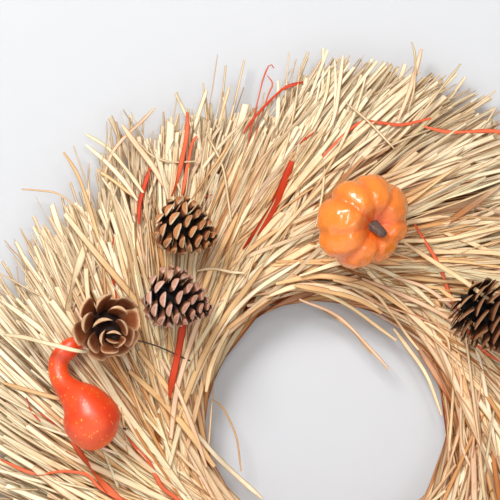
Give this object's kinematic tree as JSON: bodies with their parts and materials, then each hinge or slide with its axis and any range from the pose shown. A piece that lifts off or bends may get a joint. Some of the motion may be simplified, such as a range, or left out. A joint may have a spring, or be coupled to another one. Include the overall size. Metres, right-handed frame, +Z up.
{
  "type": "harvest door wreath",
  "caption": "Round raffia wreath on a flat wire ring, swirled outward and dressed with foam pumpkins, swan-neck gourds and pine cones, with a folding hanging loop.",
  "frame": {"origin": "the point where a door hook carries the hanging loop: the inside of the top of its arch, with the loop upright", "axes": "+Z up, the wreath's front faces -Y and its flat back faces the door at +Y, +X to the right seen from the front"},
  "size_m": [0.5278, 0.0954, 0.5329],
  "materials": {
    "frame_wire": "galvanised wire",
    "loop_wire": "galvanised wire",
    "tie_wire": "green enamelled paddle wire",
    "floral_wire": "dark brown enamelled floral wire",
    "raffia": "dry split palm leaf, straw to honey",
    "orange_raffia": "dyed dry palm leaf",
    "pumpkin_foam": "lacquered foam, bright orange",
    "pumpkin_stem": "dark brown",
    "gourd_lacquer": "orange-red lacquer flecked with yellow",
    "pine_cone": "natural brown scales"
  },
  "bodies": {
    "wreath": {"bunch_tie_01": "tie_wire", "bunch_tie_02": "tie_wire", "bunch_tie_03": "tie_wire", "bunch_tie_04": "tie_wire", "bunch_tie_05": "tie_wire", "bunch_tie_06": "tie_wire", "bunch_tie_07": "tie_wire", "bunch_tie_08": "tie_wire", "bunch_tie_09": "tie_wire", "bunch_tie_10": "tie_wire", "bunch_tie_11": "tie_wire", "bunch_tie_12": "tie_wire", "cone_wire_1": "floral_wire", "cone_wire_2": "floral_wire", "cone_wire_3": "floral_wire", "cone_wire_4": "floral_wire", "cone_wire_5": "floral_wire", "cone_wire_6": "floral_wire", "frame_brace_1": "frame_wire", "frame_brace_2": "frame_wire", "frame_brace_3": "frame_wire", "frame_brace_4": "frame_wire", "frame_brace_5": "frame_wire", "frame_brace_6": "frame_wire", "frame_rail_inner": "frame_wire", "frame_rail_outer": "frame_wire", "gourd_1": "gourd_lacquer", "gourd_2": "gourd_lacquer", "gourd_wire_1": "floral_wire", "gourd_wire_2": "floral_wire", "orange_strand_1": "orange_raffia", "orange_strand_2": "orange_raffia", "orange_strand_3": "orange_raffia", "orange_strand_4": "orange_raffia", "orange_strand_5": "orange_raffia", "pine_cone_1": "pine_cone", "pine_cone_2": "pine_cone", "pine_cone_3": "pine_cone", "pine_cone_4": "pine_cone", "pine_cone_5": "pine_cone", "pine_cone_6": "pine_cone", "pumpkin_1": "pumpkin_foam", "pumpkin_2": "pumpkin_foam", "pumpkin_stem_1": "pumpkin_stem", "pumpkin_stem_2": "pumpkin_stem", "pumpkin_wire_1": "floral_wire", "pumpkin_wire_2": "floral_wire", "raffia_bunch_01": "raffia", "raffia_bunch_02": "raffia", "raffia_bunch_03": "raffia", "raffia_bunch_04": "raffia", "raffia_bunch_05": "raffia", "raffia_bunch_06": "raffia", "raffia_bunch_07": "raffia", "raffia_bunch_08": "raffia", "raffia_bunch_09": "raffia", "raffia_bunch_10": "raffia", "raffia_bunch_11": "raffia", "raffia_bunch_12": "raffia"},
    "hanger": {"hanging_loop": "loop_wire"}
  },
  "joints": [
    {"name": "hanger_fold", "type": "hinge", "parent": "wreath", "child": "hanger", "pos_m": [0, -0.00315, -0.0328], "axis": [-1, 0, 0], "range_deg": [0, 155]}
  ]
}
